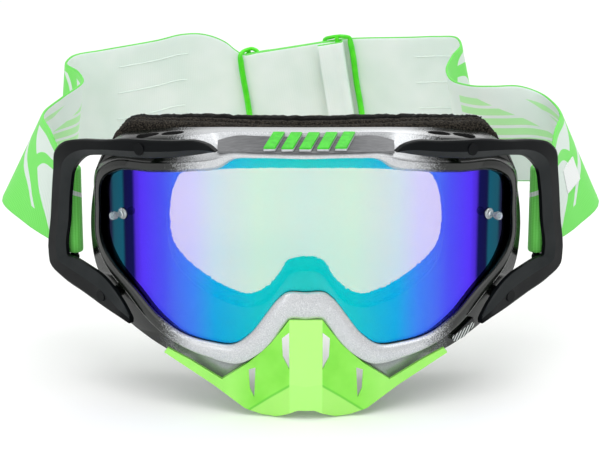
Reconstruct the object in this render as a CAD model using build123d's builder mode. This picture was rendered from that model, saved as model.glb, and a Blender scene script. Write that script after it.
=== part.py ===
"""Motorcycle goggles. Millimetres, +Z up; the wearer looks along -Y and the wearer's left is +X.

The origin is the middle of the face opening, half way along the depth of the foam's curved back.
"""
import os
from math import asin, cos, degrees, radians, sin, tan

from build123d import *

# ---- driving dimensions -------------------------------------------------------------------

# lens: part of a cylinder that stands upright
lens_front = -57.0  # y of the lens's foremost line
lens_radius = 110.0
lens_thickness = 1.2
lens_edge = 2.0  # how far the lens reaches into the frame's groove
lens_axis_y = lens_front + lens_radius

# frame
rim_radius = lens_radius + 2.5
rim_width = 4.2
shoulder_radius = lens_radius - 1.5  # front of the frame's body, outside the rim
back_radius = 226.0  # curve of the frame's back, seen from above
frame_depth = 30.0  # at the middle, from the lens's front to the frame's back
back_axis_y = lens_front + frame_depth + back_radius
back_plate = 3.0
body_wall = 2.5
chamber_radius = lens_radius - 5.0
groove_play = 0.15

# brow: the sloped face over the lens, and the plate and badge on it
brow_low = (-64.0, 37.2)  # y, z of the slope's line at the middle
brow_high = (-46.5, 44.4)
brow_half_width = 33.0
brow_plate_thickness = 1.5
badge_thickness = 1.6
skin_gap = 0.05  # between pieces that are glued or clipped face to face

# face foam: how thick each layer is, and how much smaller all round than the one before
foam_layers = {"foam_base": 7.0, "foam_middle": 6.0, "foam_fleece": 6.0}
foam_setback = 0.6

# vents through the top and bottom walls: x and y of each slot on one side
top_vents = [(52.3, -28.5), (62.4, -24.3)]
bottom_vents = [(52.0, -28.5), (61.5, -25.0)]
vent_slot = (8.4, 4.6)
vent_turn = 17.0
filter_thickness = 1.5
filter_top_z = 34.0
filter_bottom_z = -38.0

# tear-off posts
post_x = 73.0
post_z = 7.0
post_head_radius = 1.65
post_stem_radius = 1.0
post_base_radius = 2.25

# outriggers
pad_radius = rim_radius + 2.2  # middle of the pad's thickness
pad_thickness = 3.6
pad_bend_x = 84.0  # the pad leaves the round of the frame here
pad_end = (107.0, -3.0)
strap_bar_radius = 2.0  # the upright bar behind the pad that the strap loops round
strap_bar_at = (95.7, -4.3)
strap_bar_z = (-18.0, 22.4)
lug = (11.0, 4.4, 2.4)  # joins each end of the strap bar to the pad
lug_at = (97.6, -6.3)
lug_turn = -46.3
pin_radius = 2.4
pins = [(61.0, 36.5), (78.0, -27.5)]  # x, z

# nose guard
guard_radius = rim_radius + 0.6
guard_thickness = 2.4

# strap
strap_thickness = 1.4
strap_width = 44.0
loop_thickness = 1.2
loop_height = 34.0
loop_gap = 0.4  # between the strap bar and the loop sewn round it
back_y = 122.0  # middle of the outer layer, which is the wearer's left half
layer_step = 1.7  # from the outer layer to the inner one, the wearer's right half
back_tilt = 9.0  # the middle of the back climbs this much towards the wearer's left
back_centre = (-3.5, 0, 27.3)
back_reach = 58.0  # the flat stretch at the back ends here, each side

# slides
slide_width = 13.0
slide_bar = 2.2
slide_rail = 1.7
slide_play = 0.8  # over and under the strap
slide_at = {"right": -20.8, "left": 20.6}  # along the strap, from its middle
slide_travel = 12.0
tail_length = 14.0
tail_gap = 0.15  # between a slide's middle bar and the strap end folded round it
free_gap = 0.4  # between pieces that move past each other

# sewn tag on the outside of the wearer's left half
tag_place = (110.3, 17.2, 4.0)
tag_turn = -27.9
tag_size = (0.6, 6.0, 10.0)

reach = 90.0  # more than the height of anything


def mirrored(points):
    """The closed outline of both halves, from the top middle round to the top middle."""
    return points + [(-x, z) for x, z in reversed(points)]


def slab(front_radius, front_axis, rear_radius, rear_axis):
    """An upright solid between two round walls, each centred at (0, axis) seen from above."""
    with BuildPart() as block:
        with BuildSketch(Plane.XY.offset(-reach)):
            with Locations((0, front_axis)):
                Circle(front_radius)
            with Locations((0, rear_axis)):
                Circle(rear_radius, mode=Mode.SUBTRACT)
            with Locations((0, -85)):
                Rectangle(400, 200, mode=Mode.INTERSECT)
        extrude(amount=2 * reach)
    return block.part


def prism(outlines, rounding=0.0, grow=0.0):
    """Outlines in the XZ plane, run right through the goggles from front to back."""
    with BuildPart() as block:
        with BuildSketch(Plane.XZ) as section:
            for points in outlines:
                with BuildLine():
                    Polyline(*points, close=True)
                make_face()
            if rounding:
                fillet(section.vertices(), rounding)
            if grow:
                offset(amount=grow, kind=Kind.INTERSECTION)
        extrude(amount=200, both=True)
    return block.part


def brow_band(low, high):
    """A ring that follows the brow's slope, between two heights over the slope."""
    slope = Vector(brow_high[0] - brow_low[0], brow_high[1] - brow_low[1]).normalized()
    up = Vector(-slope.Y, slope.X)
    ends = [Vector(*brow_low), Vector(*brow_high)]
    corners = [ends[0] + up * low, ends[1] + up * low, ends[1] + up * high, ends[0] + up * high]
    with BuildPart() as band:
        with BuildSketch(Plane.YZ):
            with BuildLine():
                Polyline(*[(corner.X, corner.Y) for corner in corners], close=True)
            make_face()
        revolve(axis=Axis((0, lens_axis_y, 0), (0, 0, 1)))
    return band.part


def outward(x, z, radius):
    """The plane square to the lens at one side, at a distance from the lens's own axis."""
    turn = asin(x / lens_radius)
    centre = (radius * sin(turn), lens_axis_y - radius * cos(turn), z)
    return Plane(origin=centre, x_dir=(cos(turn), sin(turn), 0), z_dir=(sin(turn), -cos(turn), 0))


def rods(places, radius, inner, outer):
    """Round rods square to the lens, at each (x, z), from one distance to another."""
    with BuildPart() as group:
        for x, z in places:
            with BuildSketch(outward(x, z, inner)):
                Circle(radius)
            extrude(amount=outer - inner)
    return group.part


def sides(points):
    """The same places on the wearer's left and right."""
    return [(side * x, z) for x, z in points for side in (1, -1)]


def finish(name, block):
    """Label a finished piece and write it."""
    block.part.label = name
    export_step(block.part, f"parts/{name}.step")


# ---- outlines, seen from the front: (x, z) on the wearer's left, from the top down -----------

opening = mirrored([
    (29.5, 37.6), (35.0, 31.5), (52, 28), (78.5, 23.8), (82.4, 2), (81.5, -9), (61.5, -29),
    (52, -36.4), (38, -39.4), (27, -39.6), (21, -34), (7.6, -17.8),
])
body = mirrored([
    (36, 43), (46, 41.2), (70, 38.6), (80, 31), (85.4, 24), (88, -2), (85.4, -22), (72, -40),
    (57, -45.6), (36, -58), (27, -51), (8.4, -30),
])
face = mirrored([
    (36, 19.5), (53, 13), (57, -2), (52, -17), (38, -29), (24, -33.5), (16, -31), (5, -17.5),
])
foam = mirrored([
    (44, 40.8), (68, 37.4), (76, 28), (78, 4), (74, -20), (58, -37), (34, -46), (20.5, -43),
    (5.5, -25.5),
])
brow_panel = mirrored([(28.5, 50), (33, 42), (28.5, 37.8)])
brow_marks = [
    [(x - 3.2, 39.6), (x + 1.8, 39.6), (x + 3.4, 43.4), (x - 1.6, 43.4)]
    for x in (-18.0, -9.0, 0.0, 9.0, 18.0)
]
lozenge = [(58.6, -41.5), (67.6, -34.8), (68.0, -38.6), (63.6, -42.4), (59.4, -43.6)]
bracket = [
    (34, 38.6), (36.6, 40.7), (41, 42), (51.5, 41.2), (68, 39.7), (80, 37), (92.5, 34.4),
    (97, 32.8), (101.3, 28.4), (102.4, 21), (106.2, -19.8), (98.5, -25.8), (83.4, -31.4),
    (69.6, -36.4), (70, -32.7), (73, -28.6), (82.2, -19.5), (95, -15.2), (98.2, -15),
    (94.6, 21.4), (92.8, 23.9), (89.6, 27.4), (83.2, 30.4), (71.8, 31.9), (59.2, 33.3),
    (44.1, 35.9), (36.5, 38),
]
guard = mirrored([
    (5.6, -27.6), (13.5, -38), (22.6, -46.6), (33.2, -54.8), (36.4, -53.1), (54.8, -44.2),
    (56.4, -46.4), (36.6, -57.6), (24.3, -65.8), (17.6, -68.1), (12, -68.8), (3.2, -65.2),
])
guard_slots = [
    [(side * x, z) for x, z in slot]
    for slot in ([(5.4, -32.4), (8.4, -35.4), (8, -43), (5.4, -47.8)],
                 [(19.8, -48.4), (22.6, -49.6), (22.2, -57.4), (20.2, -61.2)])
    for side in (1, -1)
]

os.makedirs("parts", exist_ok=True)

# ---- frame --------------------------------------------------------------------------------

frame_outer = prism([body], rounding=3.0)
frame_span = slab(shoulder_radius, lens_axis_y, back_radius, back_axis_y)
rim_outer = prism([opening], rounding=1.5, grow=rim_width)
rim_span = slab(rim_radius, lens_axis_y, shoulder_radius - 1, lens_axis_y)
opening_hole = prism([opening], rounding=1.5)
window_span = slab(rim_radius + 5, lens_axis_y, chamber_radius - 1, lens_axis_y)
chamber_outer = prism([body], rounding=3.0, grow=-body_wall)
chamber_span = slab(chamber_radius, lens_axis_y, back_radius + back_plate, back_axis_y)
face_hole = prism([face], rounding=3.0)
groove_outer = prism([opening], rounding=1.5, grow=lens_edge + 2 * groove_play)
groove_span = slab(lens_radius + groove_play, lens_axis_y,
                   lens_radius - lens_thickness - groove_play, lens_axis_y)
brow_relief = brow_band(0.0, 20.0)
pin_holes = rods(sides(pins), pin_radius + skin_gap, rim_radius - 8.0, rim_radius + 9.0)

with BuildPart() as rim:
    add(rim_outer)
    add(rim_span, mode=Mode.INTERSECT)

with BuildPart() as window:
    add(opening_hole)
    add(window_span, mode=Mode.INTERSECT)

with BuildPart() as chamber:
    add(chamber_outer)
    add(chamber_span, mode=Mode.INTERSECT)

with BuildPart() as groove:
    add(groove_outer)
    add(groove_span, mode=Mode.INTERSECT)

with BuildPart() as brow_cut:
    add(brow_relief)
    with Locations((0, -60, 45)):
        Box(2 * brow_half_width, 60, 30, mode=Mode.INTERSECT)

with BuildPart() as frame_shell:
    add(frame_outer)
    add(frame_span, mode=Mode.INTERSECT)
    add(rim.part)
    add(chamber.part, mode=Mode.SUBTRACT)
    add(window.part, mode=Mode.SUBTRACT)
    add(face_hole, mode=Mode.SUBTRACT)
    add(groove.part, mode=Mode.SUBTRACT)
    add(brow_cut.part, mode=Mode.SUBTRACT)
    add(pin_holes, mode=Mode.SUBTRACT)
    for base_z, rise, vents in ((48.0, -14.0, top_vents), (-52.0, 14.0, bottom_vents)):
        with BuildSketch(Plane.XY.offset(base_z)):
            for x, y in vents:
                for side in (1, -1):
                    with Locations(Location((side * x, y), side * vent_turn)):
                        SlotOverall(*vent_slot)
        extrude(amount=rise, mode=Mode.SUBTRACT)
finish("frame_shell", frame_shell)

# ---- brow plate and badges ------------------------------------------------------------------

panel_column = prism([brow_panel])
panel_span = brow_band(skin_gap, skin_gap + brow_plate_thickness)
with BuildPart() as brow_plate:
    add(panel_column)
    add(panel_span, mode=Mode.INTERSECT)
    with Locations((0, -60, 45)):
        Box(2 * brow_half_width, 60, 30, mode=Mode.INTERSECT)
finish("brow_plate", brow_plate)

mark_columns = prism(brow_marks)
mark_foot = 2 * skin_gap + brow_plate_thickness
mark_span = brow_band(mark_foot, mark_foot + badge_thickness)
with BuildPart() as brow_badge:
    add(mark_columns)
    add(mark_span, mode=Mode.INTERSECT)
    with Locations((0, -60, 45)):
        Box(2 * brow_half_width, 60, 30, mode=Mode.INTERSECT)
finish("brow_badge", brow_badge)

lozenge_column = prism([lozenge], rounding=0.8)
lozenge_span = slab(shoulder_radius + skin_gap + badge_thickness, lens_axis_y,
                    shoulder_radius + skin_gap, lens_axis_y)
with BuildPart() as side_badge:
    add(lozenge_column)
    add(lozenge_span, mode=Mode.INTERSECT)
finish("side_badge", side_badge)

# ---- lens and its tear-off posts --------------------------------------------------------------

lens_outer = prism([opening], rounding=1.5, grow=lens_edge)
lens_span = slab(lens_radius, lens_axis_y, lens_radius - lens_thickness, lens_axis_y)
post_places = sides([(post_x, post_z)])
post_holes = rods(post_places, post_stem_radius + skin_gap, lens_radius - 5, lens_radius + 5)
with BuildPart() as lens:
    add(lens_outer)
    add(lens_span, mode=Mode.INTERSECT)
    add(post_holes, mode=Mode.SUBTRACT)
finish("lens", lens)

for name, x in (("tear_off_post_left", post_x), ("tear_off_post_right", -post_x)):
    post_base = rods([(x, post_z)], post_base_radius, lens_radius + 0.3, lens_radius + 1.3)
    post_stem = rods([(x, post_z)], post_stem_radius, lens_radius - 3.6, lens_radius + 4.4)
    post_head = rods([(x, post_z)], post_head_radius, lens_radius + 4.0, lens_radius + 6.8)
    with BuildPart() as post:
        add(post_base)
        add(post_stem)
        add(post_head)
    finish(name, post)

nut_blanks = rods(post_places, post_base_radius, lens_radius - 3.2, lens_radius - 1.6)
with BuildPart() as post_nuts:
    add(nut_blanks)
    add(post_holes, mode=Mode.SUBTRACT)
finish("post_nuts", post_nuts)

# ---- face foam --------------------------------------------------------------------------------

depth = skin_gap
for step, (name, thickness) in enumerate(foam_layers.items()):
    layer_outer = prism([foam], rounding=3.0, grow=-step * foam_setback or 0.0)
    layer_inner = prism([face], rounding=3.0, grow=step * foam_setback or 0.0)
    layer_span = slab(back_radius - depth, back_axis_y, back_radius - depth - thickness, back_axis_y)
    with BuildPart() as foam_layer:
        add(layer_outer)
        add(layer_span, mode=Mode.INTERSECT)
        add(layer_inner, mode=Mode.SUBTRACT)
    finish(name, foam_layer)
    depth += thickness + skin_gap

# ---- vent filters -----------------------------------------------------------------------------

filter_span = slab(chamber_radius - 0.4, lens_axis_y, back_radius + back_plate + 0.2, back_axis_y)
for name, base_z, vents in (("vent_filter_top", filter_top_z, top_vents),
                            ("vent_filter_bottom", filter_bottom_z, bottom_vents)):
    middle = sum(x for x, y in vents) / len(vents)
    length = vents[-1][0] - vents[0][0] + vent_slot[0] + 1.0
    with BuildPart() as vent_filter:
        with Locations((middle, 0, base_z), (-middle, 0, base_z)):
            Box(length, 120, filter_thickness)
        add(filter_span, mode=Mode.INTERSECT)
    finish(name, vent_filter)

# ---- outriggers ---------------------------------------------------------------------------------

bend_turn = degrees(asin(pad_bend_x / pad_radius))
for name, side in (("left", 1), ("right", -1)):
    outline = [(side * x, z) for x, z in bracket]
    bracket_column = prism([outline], rounding=1.2)
    with BuildPart() as outrigger:
        with BuildSketch(Plane.XY.offset(-reach)):
            with BuildLine():
                start = bend_turn - 90 if side > 0 else -90 - bend_turn
                turn = -(bend_turn - 12) if side > 0 else bend_turn - 12
                round_part = CenterArc((0, lens_axis_y), pad_radius, start, turn)
                Line(round_part @ 0, (side * pad_end[0], pad_end[1]))
            trace(line_width=pad_thickness)
        extrude(amount=2 * reach)
        add(bracket_column, mode=Mode.INTERSECT)
        with BuildSketch(Plane.XY.offset(strap_bar_z[0])):
            with Locations((side * strap_bar_at[0], strap_bar_at[1])):
                Circle(strap_bar_radius)
        extrude(amount=strap_bar_z[1] - strap_bar_z[0])
        for lug_z in strap_bar_z:
            with Locations(Location((side * lug_at[0], lug_at[1], lug_z), (0, 0, side * lug_turn))):
                Box(*lug)
        add(pin_holes, mode=Mode.SUBTRACT)
    finish(f"outrigger_{name}", outrigger)

    pin_stems = rods([(side * x, z) for x, z in pins], pin_radius, rim_radius - 7.6,
                     pad_radius + pad_thickness / 2 + 0.6)
    with BuildPart() as outrigger_pins:
        add(pin_stems)
    finish(f"outrigger_pins_{name}", outrigger_pins)

# ---- nose guard -------------------------------------------------------------------------------

guard_outer = prism([guard], rounding=0.8)
guard_holes = prism(guard_slots, rounding=0.6)
guard_span = slab(guard_radius + guard_thickness, lens_axis_y, guard_radius, lens_axis_y)
with BuildPart() as nose_guard:
    add(guard_outer)
    add(guard_span, mode=Mode.INTERSECT)
    add(guard_holes, mode=Mode.SUBTRACT)
    # hooks that reach back under the frame's lower edge
    with Locations((17.5, -52, -46.6), (-17.5, -52, -46.6)):
        Box(6, 15, 2.2)
finish("nose_guard", nose_guard)

# ---- strap ------------------------------------------------------------------------------------

# routes seen from above, on the wearer's left and right, from the loop to the flat back
routes = {
    "left": [(99.0, -0.6), (121, 41), (91, 52), (66, 71), (73, 99), (67, back_y), (40, back_y)],
    "right": [(-99.0, -0.6), (-126, 40), (-95, 63), (-107, 95), (-80, back_y - layer_step),
              (-40, back_y - layer_step)],
}
# how high the middle of the strap runs, against depth: (y, z, half its width)
rise = [(-20, 2.5, 18), (0, 2.5, 18), (14, 5, 21.5), (41, 14, 22), (65, 20, 22), (100, 28.5, 22),
        (123, 33, 22)]
side_profile = [(y, z + half) for y, z, half in rise]
side_profile += [(y, z - half) for y, z, half in reversed(rise)]
back_height = {"left": (32.0, 34.5), "right": (-36.0, 33.0)}  # x of the bend, z at the far end
corner_radii = {"left": [9, 8, 10, 9, 6], "right": [9, 8, 12, 12]}

with BuildPart() as side_band:
    with BuildSketch(Plane.YZ):
        with BuildLine():
            Polyline(*side_profile, close=True)
        make_face()
    extrude(amount=200, both=True)

back = Plane(origin=back_centre, x_dir=(cos(radians(back_tilt)), 0, sin(radians(back_tilt))),
             z_dir=(0, -1, 0))


def tilted_z(x):
    """Height of the strap's middle where the back climbs."""
    return back_centre[2] + (x - back_centre[0]) * tan(radians(back_tilt))


# each half stops short of the strap end that is folded round the other half's slide
loop_reach = slide_bar / 2 + tail_gap + loop_thickness + free_gap
stop = {"left": slide_at["right"] + slide_travel + loop_reach,
        "right": slide_at["left"] - slide_travel - loop_reach}
layer_y = {"left": back_y, "right": back_y - layer_step}
half = strap_width / 2

for name, side in (("left", 1), ("right", -1)):
    bend_x, far_z = back_height[name]
    stop_x = back_centre[0] + stop[name] * cos(radians(back_tilt))
    spine = [(side * back_reach, far_z), (bend_x, tilted_z(bend_x))]
    lean = half * sin(radians(back_tilt))
    top = [(x, z + half) for x, z in spine] + [(stop_x - lean, tilted_z(stop_x - lean) + half)]
    foot = [(x, z - half) for x, z in spine] + [(stop_x + lean, tilted_z(stop_x + lean) - half)]
    back_outline = top + foot[::-1]
    with BuildPart() as strap_back:
        with BuildSketch(Plane.XZ.offset(-layer_y[name] - strap_thickness / 2)):
            with BuildLine():
                Polyline(*back_outline, close=True)
            make_face()
        extrude(amount=strap_thickness)
    with BuildPart() as strap:
        with BuildSketch(Plane.XY.offset(-reach)):
            with BuildLine():
                FilletPolyline(*routes[name], radius=corner_radii[name])
            trace(line_width=strap_thickness)
        extrude(amount=2 * reach)
        add(side_band.part, mode=Mode.INTERSECT)
        with Locations((side * (back_reach + 100), 50, 0)):
            Box(200, 200, 2 * reach, mode=Mode.INTERSECT)
        add(strap_back.part)
    finish(f"strap_{name}", strap)

    with BuildPart() as strap_loop:
        with BuildSketch(Plane.XY.offset(2.2 - loop_height / 2)):
            with Locations((side * strap_bar_at[0], strap_bar_at[1])):
                Circle(strap_bar_radius + loop_gap + loop_thickness)
                Circle(strap_bar_radius + loop_gap, mode=Mode.SUBTRACT)
        extrude(amount=loop_height)
    finish(f"strap_loop_{name}", strap_loop)

    # silicone beads along the face that lies against the head
    bead_y = layer_y[name] - strap_thickness / 2 - skin_gap
    far_x = side * (back_reach - 3)
    near_x = bend_x + side * 3
    with BuildPart() as grip_beads:
        for lift in (-12, 0, 12):
            near_z = tilted_z(bend_x) + (far_z - tilted_z(bend_x)) * 3 / abs(side * back_reach - bend_x)
            with BuildSketch(Plane.XZ.offset(-bead_y)):
                with BuildLine():
                    Polyline((near_x, near_z + lift + 1), (far_x, far_z + lift + 1),
                             (far_x, far_z + lift - 1), (near_x, near_z + lift - 1), close=True)
                make_face()
            extrude(amount=0.5)
    finish(f"grip_beads_{name}", grip_beads)

# ---- slides, and the strap ends folded round them -----------------------------------------------

# the y where each of a slide's bars starts, outboard, middle and inboard
inner_face = layer_y["right"] - strap_thickness / 2
outer_face = layer_y["left"] + strap_thickness / 2
wrap = tail_gap + loop_thickness
bar_starts = {
    "right": (inner_face - free_gap - slide_bar, outer_face + free_gap, outer_face + free_gap),
    "left": (layer_y["left"] - strap_thickness / 2 - free_gap - slide_bar,
             layer_y["left"] - strap_thickness / 2 - free_gap - wrap - slide_bar,
             outer_face + free_gap),
}
bar_reach = slide_width / 2 - slide_bar / 2
rail_z = half + slide_play + slide_rail / 2

for name, side in (("right", -1), ("left", 1)):
    starts = bar_starts[name]
    centre = slide_at[name]
    places = (centre + side * bar_reach, centre, centre - side * bar_reach)
    nearest = min(starts)
    farthest = max(starts) + slide_bar
    with BuildPart() as slide:
        for place, start in zip(places, starts):
            with BuildSketch(back.offset(-start - slide_bar)):
                with Locations((place, 0)):
                    Rectangle(slide_bar, 2 * rail_z)
            extrude(amount=slide_bar)
        with BuildSketch(back.offset(-farthest)):
            with Locations((centre, rail_z), (centre, -rail_z)):
                RectangleRounded(slide_width, slide_rail, 0.6)
        extrude(amount=farthest - nearest)
    finish(f"slide_{name}", slide)

    # a fold of strap round the middle bar, with a flat tail on the side away from the other layer
    bar_start = starts[1]
    out_radius = slide_bar / 2 + wrap
    tail_y = bar_start + slide_bar + tail_gap if side < 0 else bar_start - wrap
    with BuildPart() as strap_end:
        with BuildSketch(back.offset(-(bar_start + slide_bar / 2) - out_radius)):
            with Locations((centre, 0)):
                Rectangle(2 * out_radius, strap_width - 2)
        extrude(amount=2 * out_radius)
        with BuildSketch(back.offset(-bar_start - slide_bar - tail_gap)):
            with Locations((centre, 0)):
                Rectangle(slide_bar + 2 * tail_gap, strap_width + 8)
        extrude(amount=slide_bar + 2 * tail_gap, mode=Mode.SUBTRACT)
        with BuildSketch(back.offset(-tail_y - loop_thickness)):
            with Locations((centre - side * tail_length / 2, 0)):
                Rectangle(tail_length, strap_width - 2)
        extrude(amount=loop_thickness)
    finish(f"strap_end_{name}", strap_end)

# ---- sewn tag -----------------------------------------------------------------------------------

with BuildPart() as strap_tag:
    with Locations(Location(tag_place, (0, 0, tag_turn))):
        Box(*tag_size)
finish("strap_tag", strap_tag)
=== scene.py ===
# Motorcycle goggles: the looks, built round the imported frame. Shapes are written in millimetres
# and made in metres. +Z is up, the wearer looks along -Y and the wearer's left is +X.

from math import cos, pi, radians, sin, sqrt

import bmesh
import bpy
import numpy as np
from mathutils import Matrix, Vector


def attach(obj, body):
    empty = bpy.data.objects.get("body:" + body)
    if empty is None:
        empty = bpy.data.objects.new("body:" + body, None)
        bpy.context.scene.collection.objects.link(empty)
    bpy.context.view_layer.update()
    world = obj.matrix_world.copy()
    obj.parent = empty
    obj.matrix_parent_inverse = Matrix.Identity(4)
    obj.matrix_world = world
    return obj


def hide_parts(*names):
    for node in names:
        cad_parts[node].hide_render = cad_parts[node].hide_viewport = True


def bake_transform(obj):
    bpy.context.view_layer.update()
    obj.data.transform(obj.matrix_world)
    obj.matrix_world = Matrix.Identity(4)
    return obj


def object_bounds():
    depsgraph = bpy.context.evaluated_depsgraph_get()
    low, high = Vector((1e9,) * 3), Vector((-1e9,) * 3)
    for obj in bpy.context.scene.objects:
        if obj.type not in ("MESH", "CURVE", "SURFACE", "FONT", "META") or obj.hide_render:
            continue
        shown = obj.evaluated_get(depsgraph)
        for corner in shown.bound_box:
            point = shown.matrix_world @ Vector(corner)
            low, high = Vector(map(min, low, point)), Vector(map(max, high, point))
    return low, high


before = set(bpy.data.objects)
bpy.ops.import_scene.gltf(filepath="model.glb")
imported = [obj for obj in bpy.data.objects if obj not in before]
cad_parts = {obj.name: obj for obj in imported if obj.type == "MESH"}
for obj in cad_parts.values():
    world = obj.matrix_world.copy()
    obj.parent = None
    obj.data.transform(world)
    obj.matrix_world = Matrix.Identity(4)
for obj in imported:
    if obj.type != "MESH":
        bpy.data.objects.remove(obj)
cad_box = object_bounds()
bpy.context.scene.view_settings.view_transform = "Standard"

MM = 0.001

# ---- dimensions shared with the frame ----

LENS_FRONT = -57.0
LENS_RADIUS = 110.0
LENS_AXIS = LENS_FRONT + LENS_RADIUS
BACK_RADIUS = 226.0
BACK_AXIS = LENS_FRONT + 30.0 + BACK_RADIUS
PAD_RADIUS = LENS_RADIUS + 4.7  # middle of the outrigger's thickness
PAD_BEND = 84.0
PAD_END = (107.0, -3.0)
POST_AT = (73.0, 7.0)
STRAP_BAR = (95.7, -4.3)
STRAP_BAR_TOP, STRAP_BAR_FOOT = 22.4, -18.0
TILT = radians(9.0)
TILT_CENTRE = (-3.5, 27.3)
STRAP_HALF = 21.5
OUTER_LAYER, INNER_LAYER = 122.0, 120.3
SLIDE_AT = {"right": -19.9, "left": 22.2}


# ---- geometry helpers ----

def front_y(x, radius):
    """Depth of an upright round wall in front of the lens's axis."""
    return LENS_AXIS - np.sqrt(np.maximum(radius ** 2 - np.asarray(x) ** 2, 1.0))


def back_y(x):
    """Depth of the curved back of the frame."""
    return BACK_AXIS - np.sqrt(BACK_RADIUS ** 2 - np.asarray(x) ** 2)


def smooth(points, steps=6, closed=False):
    """Points along a rounded line through the given ones, evenly by chord between each pair."""
    p = np.array(points, float)
    n = len(p)
    if closed:
        before, after = np.roll(p, 1, 0), np.roll(p, -1, 0)
    else:
        before = np.vstack([2 * p[0] - p[1], p[:-1]])
        after = np.vstack([p[1:], 2 * p[-1] - p[-2]])
    back = np.linalg.norm(p - before, axis=1)[:, None] + 1e-9
    ahead = np.linalg.norm(after - p, axis=1)[:, None] + 1e-9
    slope = ((p - before) / back * ahead + (after - p) / ahead * back) / (back + ahead)
    line = []
    for i in range(n if closed else n - 1):
        j = (i + 1) % n
        span = ahead[i]
        for t in np.arange(steps) / steps:
            h = (2 * t ** 3 - 3 * t ** 2 + 1, t ** 3 - 2 * t ** 2 + t,
                 3 * t ** 2 - 2 * t ** 3, t ** 3 - t ** 2)
            line.append(h[0] * p[i] + h[1] * span * slope[i] + h[2] * p[j] + h[3] * span * slope[j])
    if not closed:
        line.append(p[-1])
    return np.array(line)


def ring(points, steps=6):
    """The smooth closed line through a half given from the top middle to the bottom middle."""
    right = [(-p[0],) + tuple(p[1:]) for p in points[-2:0:-1]]
    return smooth(points + right, steps, closed=True)


def outward(line, amount):
    """A closed (x, z) line that runs clockwise, moved out by an amount."""
    run = np.roll(line, -1, 0) - np.roll(line, 1, 0)
    square = np.stack([-run[:, 1], run[:, 0]], 1)
    return line + amount * square / np.linalg.norm(square, axis=1)[:, None]


def at_depth(line, depth):
    """Points (x, depth, z) from a line of (x, z)."""
    return np.stack([line[:, 0], np.broadcast_to(depth, len(line)), line[:, 1]], 1)


def loft(rings, round_path=True):
    """Points and faces of a skin through rings, an array of path x section x 3."""
    rings = np.asarray(rings, float)
    n, m = rings.shape[:2]
    faces = []
    for i in range(n if round_path else n - 1):
        k = (i + 1) % n
        for j in range(m):
            q = (j + 1) % m
            faces.append((i * m + j, k * m + j, k * m + q, i * m + q))
    if not round_path:
        faces.append(tuple(range(m)))
        faces.append(tuple((n - 1) * m + j for j in reversed(range(m))))
    return rings.reshape(-1, 3), faces


def added(name, data):
    """A new object in the scene."""
    obj = bpy.data.objects.new(name, data)
    bpy.context.scene.collection.objects.link(obj)
    return obj


def piece(name, points, faces, materials, marks=None, sharp=35.0):
    """A mesh object from points in millimetres; marks gives each face's material number."""
    mesh = bpy.data.meshes.new(name)
    mesh.from_pydata([tuple(float(c) * MM for c in p) for p in points], [], faces)
    for material in materials:
        mesh.materials.append(material)
    if marks is not None:
        mesh.polygons.foreach_set("material_index", marks)
    obj = added(name, mesh)
    tidy(obj, sharp)
    return obj


def tidy(obj, sharp=35.0):
    """Faces turned outward, smooth but for edges sharper than an angle in degrees."""
    bm = bmesh.new()
    bm.from_mesh(obj.data)
    bmesh.ops.recalc_face_normals(bm, faces=bm.faces)
    bm.to_mesh(obj.data)
    bm.free()
    obj.data.shade_smooth()
    obj.data.set_sharp_from_angle(angle=radians(sharp))


def apply(obj):
    """Turn an object's modifiers into its mesh."""
    graph = bpy.context.evaluated_depsgraph_get()
    mesh = bpy.data.meshes.new_from_object(obj.evaluated_get(graph))
    obj.modifiers.clear()
    obj.data = mesh


def combine(obj, other, operation):
    """Cut obj by other, or keep what they share; other is used up."""
    modifier = obj.modifiers.new("combine", "BOOLEAN")
    modifier.object = other
    modifier.operation = operation
    modifier.solver = "EXACT"
    bpy.context.view_layer.update()
    apply(obj)
    bpy.data.objects.remove(other)


def bevel(obj, width, segments=2, angle=30.0):
    """Rounded edges, in millimetres."""
    modifier = obj.modifiers.new("edges", "BEVEL")
    modifier.width = width * MM
    modifier.segments = segments
    modifier.limit_method = "ANGLE"
    modifier.angle_limit = radians(angle)


def tube(path, radius, sides=12, closed=False):
    """Points and faces of a round bar along a path; radius is a number or one for each point."""
    path = np.asarray(path, float)
    n = len(path)
    radii = np.broadcast_to(radius, n)
    run = np.roll(path, -1, 0) - np.roll(path, 1, 0)
    if not closed:
        run[0], run[-1] = path[1] - path[0], path[-1] - path[-2]
    run /= np.linalg.norm(run, axis=1)[:, None]
    aside = np.cross(run[0], (0.3, 1.0, 0.2))
    rings = []
    for point, way, r in zip(path, run, radii):
        aside = aside - way * (aside @ way)
        aside /= np.linalg.norm(aside)
        other = np.cross(way, aside)
        rings.append([point + r * (cos(a) * aside + sin(a) * other)
                      for a in np.arange(sides) * 2 * pi / sides])
    return loft(rings, round_path=closed)


def lathe(profile, origin, axis, sides=28):
    """Points and faces of a turned part: (distance along the axis, radius) from end to end."""
    axis = Vector(axis).normalized()
    aside = axis.orthogonal().normalized()
    other = axis.cross(aside)
    rings = [[Vector(origin) + axis * d + r * (cos(a) * aside + sin(a) * other)
              for a in np.arange(sides) * 2 * pi / sides] for d, r in profile]
    return loft(rings, round_path=False)


def joined(parts):
    """Several (points, faces) as one."""
    points, faces = [], []
    for some_points, some_faces in parts:
        faces += [tuple(i + len(points) for i in face) for face in some_faces]
        points += [tuple(p) for p in some_points]
    return points, faces


def lens_square(x, z, radius):
    """A point at a distance from the lens's axis, and the direction square to the lens there."""
    turn = np.arcsin(x / LENS_RADIUS)
    way = Vector((sin(turn), -cos(turn), 0))
    return Vector((0, LENS_AXIS, z)) + way * radius, way


def settle(obj, body, slot, *nodes):
    """Hang a piece on the body it rides on and hide the CAD nodes that it stands for; slot is not
    used.
    """
    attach(obj, body)
    if nodes:
        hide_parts(*nodes)
    return obj


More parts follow.
